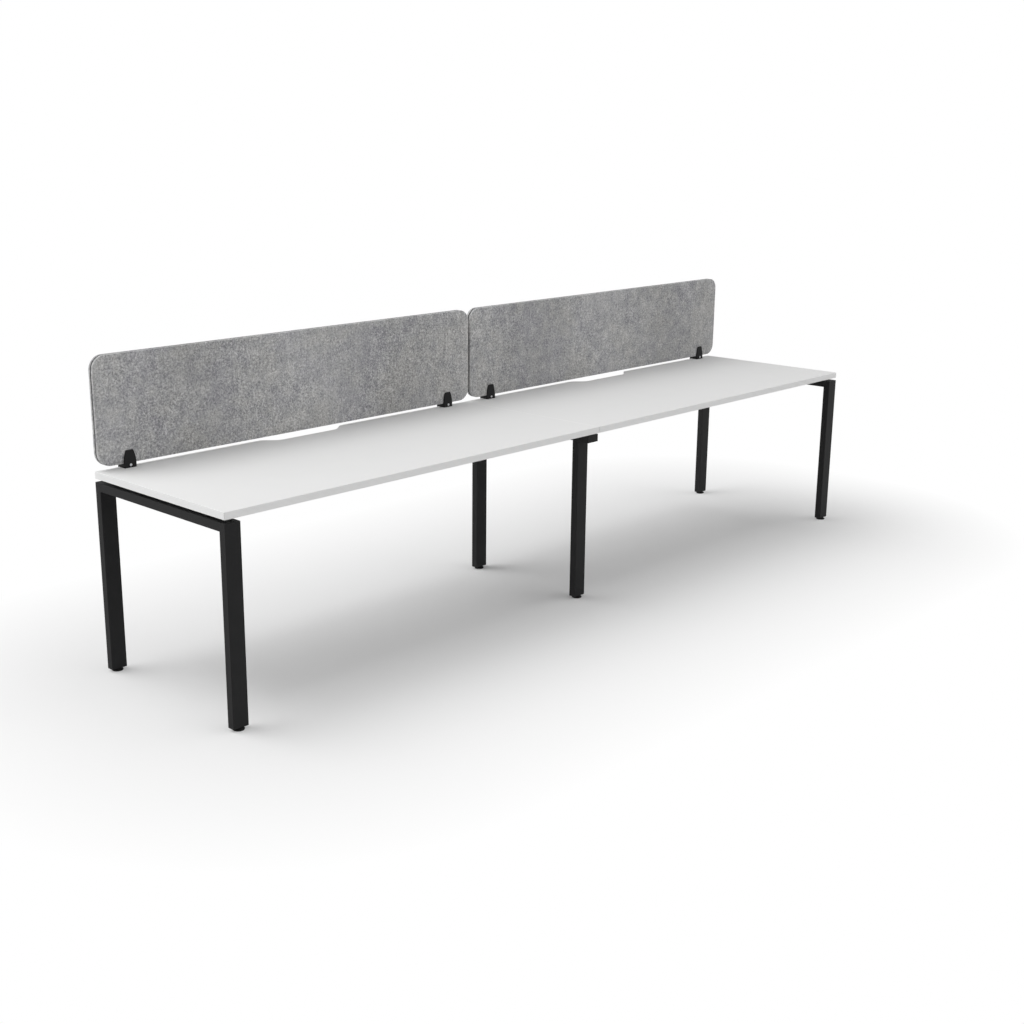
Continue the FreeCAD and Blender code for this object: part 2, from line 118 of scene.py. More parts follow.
def joinAll(pieces, name):
    keepOnly(pieces[0])
    for piece in pieces:
        piece.select_set(True)
    bpy.ops.object.join()
    pieces[0].name = name
    return pieces[0]


# edges that turn by more than this stay sharp
def smooth(piece, degrees=32):
    keepOnly(piece)
    bpy.ops.object.shade_smooth_by_angle(angle=math.radians(degrees))


def addBlock(name, size, centre=(0, 0, 0)):
    clearSelection()
    bpy.ops.mesh.primitive_cube_add(size=1, location=centre)
    block = bpy.context.object
    block.name = name
    block.scale = size
    applyPlace(block)
    return block


# a hexagon bar standing up, in millimetres
def addHexBar(name, across, low, high):
    clearSelection()
    radius = across / math.sqrt(3) / mmPerMetre
    middle = (low + high) / 2 / mmPerMetre
    bpy.ops.mesh.primitive_cylinder_add(vertices=6, radius=radius, depth=(high - low) / mmPerMetre,
                                        location=(0, 0, middle))
    bar = bpy.context.object
    bar.name = name
    applyPlace(bar)
    return bar


# a point drawn along (radius, height) steps, in millimetres
def drawProfile(name, profile):
    clearSelection()
    bpy.ops.mesh.primitive_plane_add(size=0.001)
    piece = bpy.context.object
    piece.name = name
    bpy.ops.object.mode_set(mode="EDIT")
    bpy.ops.mesh.select_mode(type="VERT")
    bpy.ops.mesh.select_all(action="SELECT")
    bpy.ops.mesh.merge(type="CENTER")
    radius, height = profile[0]
    bpy.ops.transform.translate(value=(radius / mmPerMetre, 0, height / mmPerMetre))
    for nextRadius, nextHeight in profile[1:]:
        step = ((nextRadius - radius) / mmPerMetre, 0, (nextHeight - height) / mmPerMetre)
        bpy.ops.mesh.extrude_vertices_move(TRANSFORM_OT_translate={"value": step})
        radius, height = nextRadius, nextHeight
    closeUp()
    return piece


def mergeSeams(piece):
    openAll(piece)
    bpy.ops.mesh.remove_doubles(threshold=1e-6)
    bpy.ops.mesh.normals_make_consistent(inside=False)
    closeUp()


def turnedPiece(name, profile, steps=40):
    piece = drawProfile(name, profile)
    openAll(piece)
    bpy.ops.mesh.spin(steps=steps, angle=2 * math.pi, center=(0, 0, 0), axis=(0, 0, 1))
    closeUp()
    mergeSeams(piece)
    return piece


def cutWith(piece, tool, operation="DIFFERENCE"):
    cut = piece.modifiers.new("cut", "BOOLEAN")
    cut.operation = operation
    cut.object = tool
    cut.solver = "EXACT"
    applyModifier(piece, "cut")
    discard(tool)


# node tree helpers

def newMaterial(name):
    material = bpy.data.materials.new(name)
    material.use_nodes = True
    tree = material.node_tree
    tree.nodes.clear()
    output = tree.nodes.new("ShaderNodeOutputMaterial")
    shader = tree.nodes.new("ShaderNodeBsdfPrincipled")
    tree.links.new(shader.outputs["BSDF"], output.inputs["Surface"])
    return material, tree, shader


# a turn comes before the stretch, so that strands lie along the turned direction
def placedCoords(tree, stretch=(1, 1, 1), turn=(0, 0, 0)):
    coords = tree.nodes.new("ShaderNodeTexCoord")
    mapping = tree.nodes.new("ShaderNodeMapping")
    mapping.vector_type = "TEXTURE"
    mapping.inputs["Scale"].default_value = stretch
    mapping.inputs["Rotation"].default_value = [math.radians(a) for a in turn]
    tree.links.new(coords.outputs["Object"], mapping.inputs["Vector"])
    return mapping.outputs["Vector"]


def noise(tree, vector, scale, detail=2.0, roughness=0.5, distortion=0.0):
    node = tree.nodes.new("ShaderNodeTexNoise")
    node.inputs["Scale"].default_value = scale
    node.inputs["Detail"].default_value = detail
    node.inputs["Roughness"].default_value = roughness
    node.inputs["Distortion"].default_value = distortion
    tree.links.new(vector, node.inputs["Vector"])
    return node.outputs["Fac"]


def remap(tree, value, span, newSpan):
    node = tree.nodes.new("ShaderNodeMapRange")
    for socket, number in zip(("From Min", "From Max", "To Min", "To Max"), (*span, *newSpan)):
        node.inputs[socket].default_value = number
    tree.links.new(value, node.inputs["Value"])
    return node.outputs["Result"]


def combine(tree, operation, first, second=0):
    node = tree.nodes.new("ShaderNodeMath")
    node.operation = operation
    for socket, value in zip(node.inputs, (first, second)):
        if isinstance(value, (int, float)):
            socket.default_value = value
        else:
            tree.links.new(value, socket)
    return node.outputs["Value"]


def weightedSum(tree, terms):
    total = None
    for value, weight in terms:
        term = combine(tree, "MULTIPLY", value, weight)
        total = term if total is None else combine(tree, "ADD", total, term)
    return total


def average(tree, values):
    return weightedSum(tree, [(value, 1 / len(values)) for value in values])


def blendFields(tree, fields, weights):
    return weightedSum(tree, [(fields[part], weight) for part, weight in weights.items()])


def mixColours(tree, factor, first, second):
    node = tree.nodes.new("ShaderNodeMix")
    node.data_type = "RGBA"
    if isinstance(factor, (int, float)):
        node.inputs["Factor"].default_value = factor
    else:
        tree.links.new(factor, node.inputs["Factor"])
    colourInputs = [s for s in node.inputs if s.type == "RGBA"]
    for socket, value in zip(colourInputs, (first, second)):
        if isinstance(value, tuple):
            socket.default_value = (*value, 1)
        else:
            tree.links.new(value, socket)
    return [s for s in node.outputs if s.type == "RGBA"][0]


def ramp(tree, value, places, colours):
    node = tree.nodes.new("ShaderNodeValToRGB")
    elements = node.color_ramp.elements
    for place in places[len(elements):]:
        elements.new(place)
    for element, place, colour in zip(elements, places, colours):
        element.position = place
        element.color = (*colour, 1)
    tree.links.new(value, node.inputs["Fac"])
    return node.outputs["Color"]


def bump(tree, shader, height, strength, distance):
    node = tree.nodes.new("ShaderNodeBump")
    node.inputs["Strength"].default_value = strength
    node.inputs["Distance"].default_value = distance
    tree.links.new(height, node.inputs["Height"])
    tree.links.new(node.outputs["Normal"], shader.inputs["Normal"])


def paint(tree, shader, colour):
    tree.links.new(colour, shader.inputs["Base Color"])


def varyRoughness(tree, shader, field, span):
    tree.links.new(remap(tree, field, noiseSpan, span), shader.inputs["Roughness"])


def setSockets(shader, values):
    for socket, value in values.items():
        shader.inputs[socket].default_value = value


# white melamine face of the worktops
melamineLook = {
    "tones": ((0.772, 0.772, 0.769), (0.790, 0.790, 0.786)),
    "clouds": {"scale": 9.0, "detail": 3.0},
    "pores": {"scale": 1500.0},
    "roughness": (0.55, 0.68),
    "sockets": {"Specular IOR Level": 0.07},
    "bump": {"strength": 0.06, "distance": 0.0002},
}


def makeMelamine():
    material, tree, shader = newMaterial("whiteMelamine")
    coords = placedCoords(tree)
    clouds = noise(tree, coords, **melamineLook["clouds"])
    pores = noise(tree, coords, **melamineLook["pores"])
    paint(tree, shader, mixColours(tree, clouds, *melamineLook["tones"]))
    varyRoughness(tree, shader, pores, melamineLook["roughness"])
    setSockets(shader, melamineLook["sockets"])
    bump(tree, shader, pores, **melamineLook["bump"])
    return material


# white plastic edging round the worktops
edgingLook = {
    "tones": ((0.83, 0.83, 0.826), (0.85, 0.85, 0.846)),
    "stretch": (6, 6, 1),
    "grain": {"scale": 2400.0},
    "roughness": (0.40, 0.50),
    "bump": {"strength": 0.05, "distance": 0.0002},
}


def makeEdging():
    material, tree, shader = newMaterial("whiteEdging")
    grain = noise(tree, placedCoords(tree, edgingLook["stretch"]), **edgingLook["grain"])
    paint(tree, shader, mixColours(tree, grain, *edgingLook["tones"]))
    varyRoughness(tree, shader, grain, edgingLook["roughness"])
    bump(tree, shader, grain, **edgingLook["bump"])
    return material


# satin black powder coat on tubes, plates and brackets
powderLook = {
    "tones": ((0.0165, 0.0165, 0.017), (0.0215, 0.0215, 0.022)),
    "dust": {"scale": 14.0},
    "peel": {"scale": 900.0, "detail": 3.0, "roughness": 0.6},
    "roughness": (0.50, 0.62),
    "frameSockets": {"Specular IOR Level": 0.11},
    "bracketSockets": {"Specular IOR Level": 0.10},
    "bump": {"strength": 0.35, "distance": 0.0006},
}


def makePowderCoat(name, sockets):
    material, tree, shader = newMaterial(name)
    coords = placedCoords(tree)
    dust = noise(tree, coords, **powderLook["dust"])
    peel = noise(tree, coords, **powderLook["peel"])
    paint(tree, shader, mixColours(tree, dust, *powderLook["tones"]))
    varyRoughness(tree, shader, peel, powderLook["roughness"])
    setSockets(shader, sockets)
    bump(tree, shader, peel, **powderLook["bump"])
    return material


# moulded black plastic of plugs, caps, spacers and pads
plasticLook = {
    "tones": ((0.009, 0.009, 0.009), (0.017, 0.017, 0.017)),
    "scuffs": {"scale": 60.0, "detail": 4.0, "roughness": 0.6},
    "spark": {"scale": 1600.0},
    "roughness": (0.50, 0.66),
    "sockets": {"Specular IOR Level": 0.16},
    "bump": {"strength": 0.2, "distance": 0.0003},
}


def makeBlackPlastic():
    material, tree, shader = newMaterial("mouldedBlackPlastic")
    coords = placedCoords(tree)
    scuffs = noise(tree, coords, **plasticLook["scuffs"])
    spark = noise(tree, coords, **plasticLook["spark"])
    paint(tree, shader, mixColours(tree, scuffs, *plasticLook["tones"]))
    varyRoughness(tree, shader, scuffs, plasticLook["roughness"])
    setSockets(shader, plasticLook["sockets"])
    bump(tree, shader, spark, **plasticLook["bump"])
    return material


# bright zinc on the fasteners
zincLook = {
    "tones": ((0.78, 0.79, 0.80), (0.64, 0.65, 0.67)),
    "spangle": {"scale": 500.0, "detail": 3.0, "roughness": 0.6},
    "roughness": (0.24, 0.40),
    "sockets": {"Metallic": 1.0},
    "bump": {"strength": 0.08, "distance": 0.0002},
}


def makeZinc():
    material, tree, shader = newMaterial("brightZinc")
    spangle = noise(tree, placedCoords(tree), **zincLook["spangle"])
    paint(tree, shader, mixColours(tree, spangle, *zincLook["tones"]))
    varyRoughness(tree, shader, spangle, zincLook["roughness"])
    setSockets(shader, zincLook["sockets"])
    bump(tree, shader, spangle, **zincLook["bump"])
    return material


# mottled grey needle felt: tangled fibres, wisps, tufts, and slow drifts of tone and tint
feltLook = {
    "stops": (0.385, 0.445, 0.50, 0.555, 0.63),
    "face": ((0.103, 0.103, 0.105), (0.157, 0.156, 0.160), (0.405, 0.405, 0.408), (0.743, 0.741, 0.740),
             (0.92, 0.917, 0.915)),
    # paler tones for the rims' round faces: a painted highlight where the rounded edge catches the light
    "edge": ((0.17, 0.17, 0.175), (0.24, 0.24, 0.245), (0.52, 0.52, 0.522), (0.76, 0.76, 0.75),
             (0.88, 0.88, 0.87)),
    "fibres": {"turns": (20, 78, 140), "scale": 960.0, "length": 14.0},
    "wisps": {"turns": (6, 84, 49, 131), "scale": 300.0, "length": 3.4},
    "combing": {"turns": (0,), "scale": 170.0, "length": 7.0},
    "strand": {"detail": 2.0, "roughness": 0.55, "distortion": 0.8},
    "tufts": {"scale": 128.0, "detail": 4.0, "roughness": 0.70, "distortion": 0.5},
    "drifts": {"scale": 21.0, "detail": 3.0, "roughness": 0.55},
    "weights": {"fibres": 0.25, "wisps": 0.31, "combing": 0.07, "tufts": 0.28, "drifts": 0.09},
    "patches": {"scale": 4.5}, "patchSpan": (0.35, 0.65), "contrast": (0.83, 1.24),
    # the pale bands' spacing also pales the panel ends, as painted light for the bounce they lack
    "panelMiddle": 0.903, "paleSpan": 1.0, "paleLift": 0.011,
    "tints": {"scale": 5.0}, "tintWeights": {"tints": 0.75, "drifts": 0.65}, "tintStops": (0.55, 0.70, 0.85),
    "cool": (0.380, 0.376, 0.415), "warm": (0.421, 0.410, 0.384), "tintShare": 0.34,
    "sockets": {"Roughness": 0.95, "Specular IOR Level": 0.15, "Sheen Weight": 0.2, "Sheen Roughness": 0.5},
    "relief": {"fibres": 1.0, "wisps": 0.5, "tufts": 0.6},
    "bump": {"strength": 0.4, "distance": 0.0012},
}


def strandNoise(tree, strands):
    fields = []
    for turn in strands["turns"]:
        coords = placedCoords(tree, (1, 1, strands["length"]), (0, turn, 0))
        fields.append(noise(tree, coords, strands["scale"], **feltLook["strand"]))
    return fields


def makeFelt(name, tones):
    material, tree, shader = newMaterial(name)
    flat = placedCoords(tree)
    upright, level, rising, falling = strandNoise(tree, feltLook["wisps"])
    crossed = combine(tree, "MAXIMUM", upright, level)
    slanted = combine(tree, "MINIMUM", rising, falling)
    fields = {
        "fibres": average(tree, strandNoise(tree, feltLook["fibres"])),
        "wisps": average(tree, [crossed, slanted]),
        "combing": strandNoise(tree, feltLook["combing"])[0],
        "tufts": noise(tree, flat, **feltLook["tufts"]),
        "drifts": noise(tree, flat, **feltLook["drifts"]),
    }
    shade = blendFields(tree, fields, feltLook["weights"])
    # the mottle is stronger in some places than in others
    patches = noise(tree, flat, **feltLook["patches"])
    strength = remap(tree, patches, feltLook["patchSpan"], feltLook["contrast"])
    shade = combine(tree, "MULTIPLY", combine(tree, "SUBTRACT", shade, noiseMiddle), strength)
    # slow pale and dark bands along each panel, palest in its middle; their spacing also makes the panel
    # ends paler, painted light standing in for the bounce light the ends lack
    along = tree.nodes.new("ShaderNodeSeparateXYZ")
    tree.links.new(flat, along.inputs["Vector"])
    offset = combine(tree, "ABSOLUTE", along.outputs["X"])
    offset = combine(tree, "SUBTRACT", offset, feltLook["panelMiddle"])
    wave = combine(tree, "COSINE", combine(tree, "MULTIPLY", offset, 2 * math.pi / feltLook["paleSpan"]))
    shade = combine(tree, "ADD", shade, combine(tree, "MULTIPLY", wave, feltLook["paleLift"]))
    shade = combine(tree, "ADD", shade, noiseMiddle)
    grey = ramp(tree, shade, feltLook["stops"], tones)
    # cool and warm places, with the felt's own middle tone between them
    fields["tints"] = noise(tree, flat, **feltLook["tints"])
    tints = blendFields(tree, fields, feltLook["tintWeights"])
    middleTone = tones[len(tones) // 2]
    tint = ramp(tree, tints, feltLook["tintStops"], (feltLook["cool"], middleTone, feltLook["warm"]))
    paint(tree, shader, mixColours(tree, feltLook["tintShare"], grey, tint))
    setSockets(shader, feltLook["sockets"])
    bump(tree, shader, blendFields(tree, fields, feltLook["relief"]), **feltLook["bump"])
    return material


# dark board between the felt skins
coreLook = {
    "stops": (0.40, 0.72),
    "tones": ((0.05, 0.05, 0.052), (0.11, 0.11, 0.112)),
    "stretch": (4, 1, 4),
    "specks": {"scale": 1400.0, "detail": 4.0, "roughness": 0.7},
    "sockets": {"Roughness": 0.9, "Specular IOR Level": 0.2},
    "bump": {"strength": 0.5, "distance": 0.0008},
}


def makeCore():
    material, tree, shader = newMaterial("darkScreenCore")
    specks = noise(tree, placedCoords(tree, coreLook["stretch"]), **coreLook["specks"])
    paint(tree, shader, ramp(tree, specks, coreLook["stops"], coreLook["tones"]))
    setSockets(shader, coreLook["sockets"])
    bump(tree, shader, specks, **coreLook["bump"])
    return material


finishes = {
    "melamine": makeMelamine(),
    "edging": makeEdging(),
    "frame_black": makePowderCoat("blackPowderCoat", powderLook["frameSockets"]),
    "bracket_black": makePowderCoat("blackBracketCoat", powderLook["bracketSockets"]),
    "black_plastic": makeBlackPlastic(),
    "zinc_steel": makeZinc(),
    "felt": makeFelt("greyNeedleFelt", feltLook["face"]),
    "screen_core": makeCore(),
}
# paler felt for the round rims of the skins, a painted highlight
paintedHighlightFelt = makeFelt("paintedRimHighlight", feltLook["edge"])
slotOf = {part["node"]: part["material_slot"] for part in frame["record"]["subparts"]}
for name, node in nodes.items():
    node.data.materials.clear()
    node.data.materials.append(finishes[slotOf[name]])
print("finishes made:", len(finishes) + 1)


def dress(piece, slot, body, *replaced):
    piece.data.materials.clear()
    piece.data.materials.append(finishes[slot])
    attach(piece, body)
    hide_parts(*replaced)


# felt skins, front and rear of both screens
feltSkin = {
    "corner": 0.050, "cornerSteps": 16, "rim": 0.002, "rimSteps": 4, "columns": 92, "rows": 20,
    "swell": 0.0005, "swellSize": 0.05, "smoothAngle": 40, "tolerance": 1e-5,
    "rimFacing": (0.2, 0.96),  # least and most that the rim's round faces, which get the painted highlight, face front or rear
}


def shapeFeltSkin():
    low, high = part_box("left_screen_front_felt")
    size = high - low
    skin = addBlock("feltSkin", size)
    half = size / 2
    pickEdges(skin, lambda a, b: abs(a.y - b.y) > half.y)  # the four corners
    bpy.ops.mesh.bevel(offset=feltSkin["corner"], segments=feltSkin["cornerSteps"], affect="EDGES")
    closeUp()
    outerFace = -half.y + feltSkin["tolerance"]
    pickEdges(skin, lambda a, b: max(a.y, b.y) < outerFace)  # the rim of the outer face
    bpy.ops.mesh.bevel(offset=feltSkin["rim"], segments=feltSkin["rimSteps"], affect="EDGES")
    # cut into a grid that the swell can bend
    for axis, count in ((0, feltSkin["columns"]), (2, feltSkin["rows"])):
        normal = [float(axis == k) for k in range(3)]
        for step in range(1, count):
            place = [n * (step / count - 0.5) * size[axis] for n in normal]
            bpy.ops.mesh.select_all(action="SELECT")
            bpy.ops.mesh.bisect(plane_co=place, plane_no=normal)
    closeUp()
    return skin


def makeFeltSkins():
    skin = shapeFeltSkin()
    swell = bpy.data.textures.new("feltSwell", "CLOUDS")
    swell.noise_scale = feltSkin["swellSize"]
    leastFacing, mostFacing = feltSkin["rimFacing"]
    for side in ("left", "right"):
        for face, turn in (("front", 0), ("rear", 180)):
            node = f"{side}_screen_{face}_felt"
            low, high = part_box(node)
            panel = copyTo(skin, f"{side}{face.title()}FeltSkin", (low + high) / 2, (0, 0, turn))
            displace = panel.modifiers.new("swell", "DISPLACE")
            displace.texture = swell
            displace.texture_coords = "LOCAL"
            displace.strength = feltSkin["swell"]
            applyModifier(panel, "swell")
            smooth(panel, feltSkin["smoothAngle"])
            dress(panel, "felt", "workstation", node)
            panel.data.materials.append(paintedHighlightFelt)
            # the rim's round faces take the paler felt, a painted highlight where the edge catches the light
            for patch in panel.data.polygons:
                patch.material_index = int(leastFacing < abs(patch.normal.y) < mostFacing)
    discard(skin)


makeFeltSkins()
print("felt skins made")


# levelling pads, turned like a moulded glide
padShape = {
    "profile": [(0, 0.4), (13.6, 0.4), (14.0, 0), (18.5, 0), (19.25, 0.2), (19.8, 0.75), (20, 1.5),
                (20, 3.7), (19.7, 4.1), (19.0, 4.4), (16.2, 5.3), (15.9, 5.2), (15.5, 5.3), (15.2, 5.6),
                (11.4, 6.85), (10.9, 7), (4.6, 7), (4.1, 6.6), (4.1, 5.1), (6.6, 5.1), (6.6, 1.9), (0, 1.9)],
    "steps": 56,
}

# studs: foot in the pad, hexagon under the leg, threaded shank
studShape = {
    "foot": [(0, 2), (6.2, 2), (6.5, 2.3), (6.5, 4.7), (6.2, 5), (3.9, 5), (3.9, 7.3), (0, 7.3)],
    "hexAcross": 13, "hexLow": 7.1, "hexHigh": 9.8,
    "root": 3.35, "crest": 4.0, "pitch": 1.25, "top": 41.1, "turnSteps": 20,
    "crestStart": 0.4, "crestEnd": 0.5, "rootStart": 0.9,  # in pitches
    "runOut": 2.13,  # in pitches, so that no point of the winding lies on the two cuts
    "cutTolerance": 1e-7,  # the usual one is coarser than a step of the thread
}

# hexagon heads, with their top corners turned off in a cone
hexHead = {
    "flatShare": 0.475, "coneShare": 0.65,  # radii, in widths across the flats
    "coneAngle": 30, "steps": 48, "over": 0.01, "under": 1,
}


def chamferedHex(name, across, height):
    head = addHexBar(name, across, 0, height)
    flat, reach = hexHead["flatShare"] * across, hexHead["coneShare"] * across
    drop = (reach - flat) * math.tan(math.radians(hexHead["coneAngle"]))
    top, bottom = height + hexHead["over"], -hexHead["under"]
    cone = [(0, top), (flat, top), (reach, height - drop), (reach, bottom), (0, bottom)]
    cutWith(head, turnedPiece("chamferTool", cone, hexHead["steps"]), "INTERSECT")
    return head


def makeThread():
    root, crest, pitch = studShape["root"], studShape["crest"], studShape["pitch"]
    low, high = studShape["hexLow"], studShape["top"]
    start = low - studShape["runOut"] * pitch
    winding = [(root, start)]
    for radius, place in ((crest, "crestStart"), (crest, "crestEnd"), (root, "rootStart")):
        winding.append((radius, start + studShape[place] * pitch))
    winding.append((root, start + pitch))
    rod = drawProfile("studThread", winding)
    wind = rod.modifiers.new("wind", "SCREW")
    wind.screw_offset = pitch / mmPerMetre
    wind.iterations = math.ceil((high - start) / pitch) + 1
    wind.steps = studShape["turnSteps"]
    wind.render_steps = studShape["turnSteps"]
    applyModifier(rod, "wind")
    mergeSeams(rod)
    openAll(rod)
    for height in (high, low):
        bpy.ops.mesh.select_all(action="SELECT")
        bpy.ops.mesh.bisect(plane_co=(0, 0, height / mmPerMetre), plane_no=(0, 0, 1), use_fill=True,
                            clear_outer=height == high, clear_inner=height == low,
                            threshold=studShape["cutTolerance"])
    closeUp()
    mergeSeams(rod)
    return rod


def makeStud():
    foot = turnedPiece("studFoot", studShape["foot"])
    collar = chamferedHex("studCollar", studShape["hexAcross"], studShape["hexHigh"] - studShape["hexLow"])
    collar.location.z = studShape["hexLow"] / mmPerMetre
    applyPlace(collar)
    return joinAll([foot, collar, makeThread()], "levellingStud")


def makeFeet():
    pad = turnedPiece("levellingPad", padShape["profile"], padShape["steps"])
    stud = makeStud()
    for prototype in (pad, stud):
        smooth(prototype)
    for side in ("left", "middle", "right"):
        for end in ("front", "rear"):
            low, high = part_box(f"{side}_{end}_foot_pad")
            place = ((low.x + high.x) / 2, (low.y + high.y) / 2, low.z)
            for prototype, part, slot in ((pad, "pad", "black_plastic"), (stud, "stud", "zinc_steel")):
                node = f"{side}_{end}_foot_{part}"
                piece = copyTo(prototype, f"{side}{end.title()}Levelling{part.title()}", place)
                dress(piece, slot, node, node)
    discard(pad)
    discard(stud)


makeFeet()
print("levelling feet made")


# socket screws in the clamp plates
clampScrew = {
    "profile": [(0, -20), (2.5, -20), (2.5, 0), (4.75, 0), (4.75, 1.8), (4.65, 2.25), (4.35, 2.6),
                (3.9, 2.78), (3.5, 2.8), (0, 2.8)],
    "steps": 48, "headHeight": 2.8, "socketAcross": 3, "socketDepth": 1.6, "overcut": 1,
}


def makeClampScrews():
    height = clampScrew["headHeight"]
    screw = turnedPiece("clampScrew", clampScrew["profile"], clampScrew["steps"])
    socket = addHexBar("socketTool", clampScrew["socketAcross"], height - clampScrew["socketDepth"],
                       height + clampScrew["overcut"])
    cutWith(screw, socket)
    smooth(screw)
    low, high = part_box("clamp_screws")
    copies = []
    for side in ("left", "right"):
        for end in ("outer", "inner"):
            plateLow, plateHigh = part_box(f"{side}_screen_{end}_clamp_plate")
            place = ((plateLow.x + plateHigh.x) / 2, low.y + height / mmPerMetre, (low.z + high.z) / 2)
            copies.append(copyTo(screw, "clampScrewCopy", place, (90, 0, 0)))
    discard(screw)
    dress(joinAll(copies, "clampScrews"), "zinc_steel", "workstation", "clamp_screws")


makeClampScrews()
print("clamp screws made")

# hexagon bolts through the beams' end plates
beamBolt = {
    "across": 13, "headHeight": 5.5,
    "shank": [(0, -22), (3.4, -22), (4, -21.4), (4, 0.5), (0, 0.5)], "steps": 24,
    "offset": 0.044,  # from the beam's middle, in metres
}


def makeBeamBolts():
    head = chamferedHex("beamBoltHead", beamBolt["across"], beamBolt["headHeight"])
    shank = turnedPiece("beamBoltShank", beamBolt["shank"], beamBolt["steps"])
    bolt = joinAll([head, shank], "beamBolt")
    smooth(bolt)
    copies = []
    for side in ("left", "right"):
        for end in ("front", "rear"):
            low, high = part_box(f"{side}_{end}_beam")
            for x, turn in ((low.x, 90), (high.x, -90)):
                for shift in (-beamBolt["offset"], beamBolt["offset"]):
                    place = (x, (low.y + high.y) / 2 + shift, (low.z + high.z) / 2)
                    copies.append(copyTo(bolt, "beamBoltCopy", place, (0, turn, 0)))
    discard(bolt)
    dress(joinAll(copies, "beamBolts"), "zinc_steel", "workstation", "beam_bolts")


makeBeamBolts()
print("beam bolts made")

# pan-head screws under the rails and beams, with a cross recess
topScrew = {
    "profile": [(0, -57), (1.0, -56), (3, -53), (3, 0), (6, 0), (6, 1.1), (5.75, 2.2), (5.1, 3.1),
                (4.0, 3.75), (2.8, 4), (0, 4)],
    "steps": 32, "blade": (1.3, 6.2, 4.4), "bladeMiddle": 3.9,
    "railShifts": {"left": (0,), "right": (0,), "middle": (-0.25, 0.25)},  # in widths of the rail
    "railRows": (-0.28, 0.0, 0.28), "beamSteps": (-0.6, 0.0, 0.6),  # in metres
}


def screwPlaces():
    places = []
    for rail, shifts in topScrew["railShifts"].items():
        low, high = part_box(f"{rail}_frame_rail")
        for shift in shifts:
            x = (low.x + high.x) / 2 + shift * (high.x - low.x)
            places += [(x, y, low.z) for y in topScrew["railRows"]]
    for side in ("left", "right"):
        for end in ("front", "rear"):
            low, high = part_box(f"{side}_{end}_beam")
            middle = (low + high) / 2
            places += [(middle.x + step, middle.y, low.z) for step in topScrew["beamSteps"]]
    return places


def makeTopScrews():
    screw = turnedPiece("topScrew", topScrew["profile"], topScrew["steps"])
    bladeSize = [side / mmPerMetre for side in topScrew["blade"]]
    for turn in (0, 90):
        blade = addBlock("recessBlade", bladeSize, (0, 0, topScrew["bladeMiddle"] / mmPerMetre))
        blade.rotation_euler.z = math.radians(turn)
        applyPlace(blade)
        cutWith(screw, blade)
    smooth(screw)
    copies = [copyTo(screw, "topScrewCopy", place, (180, 0, 0)) for place in screwPlaces()]
    discard(screw)
    dress(joinAll(copies, "topScrews"), "zinc_steel", "workstation", "top_screws")


makeTopScrews()
print("top screws made")


# floor and light
stageLook = {
    "floorSize": 60,
    "floorColour": (0.78, 0.78, 0.78),
    "shadeHalf": (1.5, 0.2, 0.0),  # half the stretch of floor that keeps its full shade
    "fadeReach": 1.2,
    "domeGlows": (  # where each comes from, how narrow it is and how strong
        ((-0.664, 0.664, 0.342), 4, 2.2),
        ((0.664, -0.664, 0.342), 4, 1.57),
        ((0, 0, 1), 2, 0.454),
    ),
    "softboxPower": 197,
    "softboxSize": 5.0,
    "softboxPlace": (-3.0, 2.2, 7.0),
    "softboxAim": (0.0, 0.0, 0.5),
}


def vectorStep(tree, operation, vector, second=(0, 0, 0)):
    node = tree.nodes.new("ShaderNodeVectorMath")
    node.operation = operation
    tree.links.new(vector, node.inputs[0])
    node.inputs[1].default_value = second
    return node


# by the camera, or mirrored in metal and gloss
def seenDirectly(tree):
    path = tree.nodes.new("ShaderNodeLightPath")
    seen = combine(tree, "MAXIMUM", path.outputs["Is Camera Ray"], path.outputs["Is Glossy Ray"])
    return combine(tree, "MAXIMUM", seen, path.outputs["Is Transmission Ray"])


def mixShaders(tree, factor, first, second, output):
    mix = tree.nodes.new("ShaderNodeMixShader")
    tree.links.new(factor, mix.inputs["Fac"])
    tree.links.new(first.outputs[0], mix.inputs[1])
    tree.links.new(second.outputs[0], mix.inputs[2])
    tree.links.new(mix.outputs[0], output.inputs["Surface"])


def makeStage():
    clearSelection()
    bpy.ops.mesh.primitive_plane_add(size=stageLook["floorSize"])
    floor = bpy.context.object
    floor.name = "floor"
    material, tree, shader = newMaterial("paleFloor")
    tree.nodes.remove(shader)
    output = [n for n in tree.nodes if n.type == "OUTPUT_MATERIAL"][0]
    matt = tree.nodes.new("ShaderNodeBsdfDiffuse")
    matt.inputs["Color"].default_value = (*stageLook["floorColour"], 1)
    white = tree.nodes.new("ShaderNodeEmission")
    # seen directly, it fades to plain white away from under the object
    outward = vectorStep(tree, "ABSOLUTE", placedCoords(tree)).outputs["Vector"]
    outward = vectorStep(tree, "SUBTRACT", outward, stageLook["shadeHalf"]).outputs["Vector"]
    outward = vectorStep(tree, "MAXIMUM", outward).outputs["Vector"]
    distance = vectorStep(tree, "LENGTH", outward).outputs["Value"]
    fade = remap(tree, distance, (0, stageLook["fadeReach"]), (0, 1))
    mixShaders(tree, combine(tree, "MULTIPLY", fade, seenDirectly(tree)), matt, white, output)
    floor.data.materials.append(material)


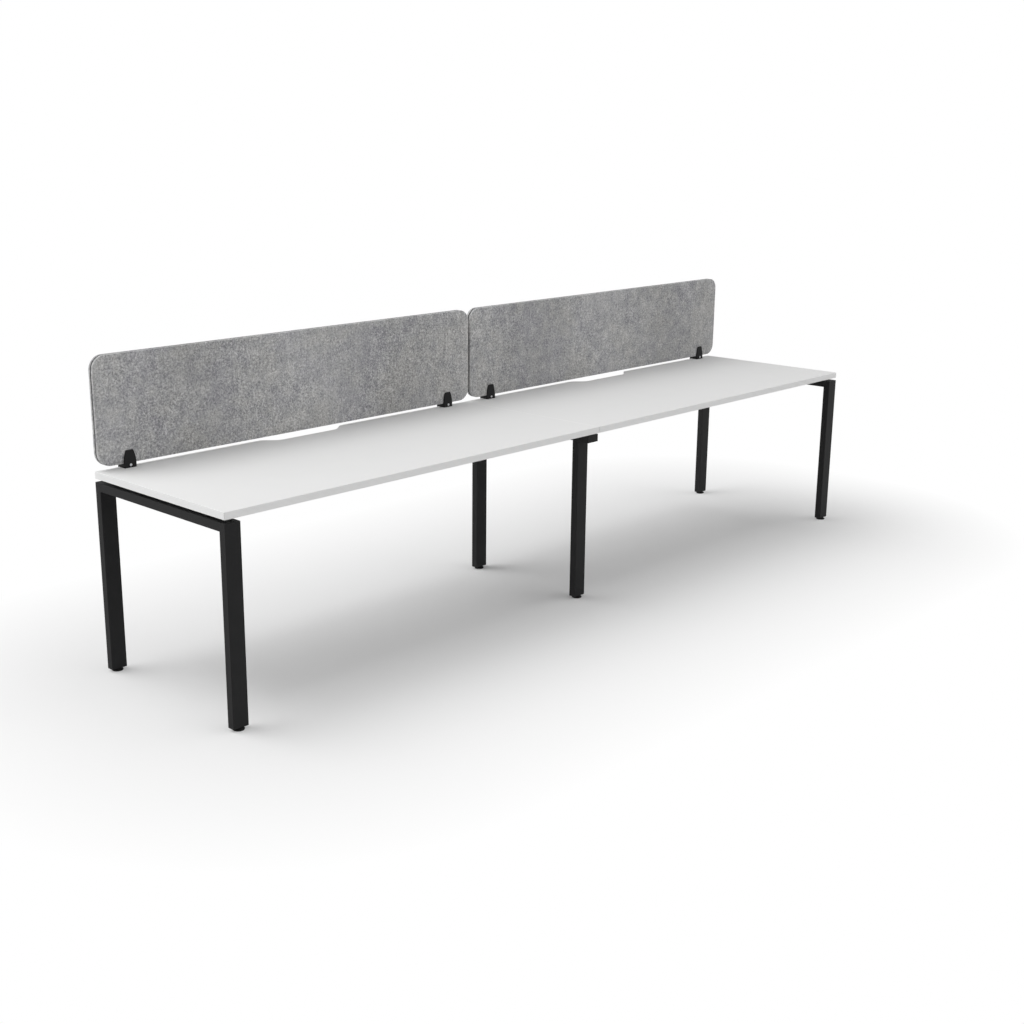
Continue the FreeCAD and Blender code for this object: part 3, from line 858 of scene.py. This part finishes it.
def makeDome():
    world = bpy.data.worlds.new("softDome")
    scene.world = world
    world.use_nodes = True
    tree = world.node_tree
    tree.nodes.clear()
    output = tree.nodes.new("ShaderNodeOutputWorld")
    dome = tree.nodes.new("ShaderNodeBackground")
    backdrop = tree.nodes.new("ShaderNodeBackground")
    for background in (dome, backdrop):
        background.inputs["Color"].default_value = (1, 1, 1, 1)
    # broad glows to either side of the view and overhead
    direction = tree.nodes.new("ShaderNodeTexCoord").outputs["Generated"]
    glows = []
    for axis, narrowness, strength in stageLook["domeGlows"]:
        facing = vectorStep(tree, "DOT_PRODUCT", direction, axis).outputs["Value"]
        facing = combine(tree, "MAXIMUM", facing, 0)
        glows.append((combine(tree, "POWER", facing, narrowness), strength))
    tree.links.new(weightedSum(tree, glows), dome.inputs["Strength"])
    mixShaders(tree, seenDirectly(tree), dome, backdrop, output)


def makeSoftbox():
    clearSelection()
    place = Vector(stageLook["softboxPlace"])
    bpy.ops.object.light_add(type="AREA", location=place)
    softbox = bpy.context.object
    softbox.name = "overheadSoftbox"
    softbox.data.shape = "DISK"
    softbox.data.size = stageLook["softboxSize"]
    softbox.data.energy = stageLook["softboxPower"]
    softbox.rotation_euler = (place - Vector(stageLook["softboxAim"])).to_track_quat("Z", "Y").to_euler()
    softbox.visible_camera = False


# camera where the photo was taken from
cameraSet = {
    "place": (-4.1755, -3.7537, 1.8534),
    "turn": (75.128, 0.026, -44.870),
    "focalPixels": 1382.44,
    "centrePixels": (452.60, 498.66),
    "imageSize": 1024,
    "sensorWidth": 36.0,
    "reach": 100,
}


def makeCamera():
    clearSelection()
    bpy.ops.object.camera_add(location=cameraSet["place"])
    camera = bpy.context.object
    camera.rotation_euler = [math.radians(a) for a in cameraSet["turn"]]
    size = cameraSet["imageSize"]
    camera.data.sensor_width = cameraSet["sensorWidth"]
    camera.data.sensor_fit = "HORIZONTAL"
    camera.data.lens = cameraSet["focalPixels"] / size * camera.data.sensor_width
    middle = (size - 1) / 2
    centreX, centreY = cameraSet["centrePixels"]
    camera.data.shift_x = (middle - centreX) / size
    camera.data.shift_y = (centreY - middle) / size
    camera.data.clip_end = cameraSet["reach"]
    scene.camera = camera


makeStage()
makeDome()
makeSoftbox()
makeCamera()
scene.view_settings.view_transform = "Standard"
print("stage, light and camera set")
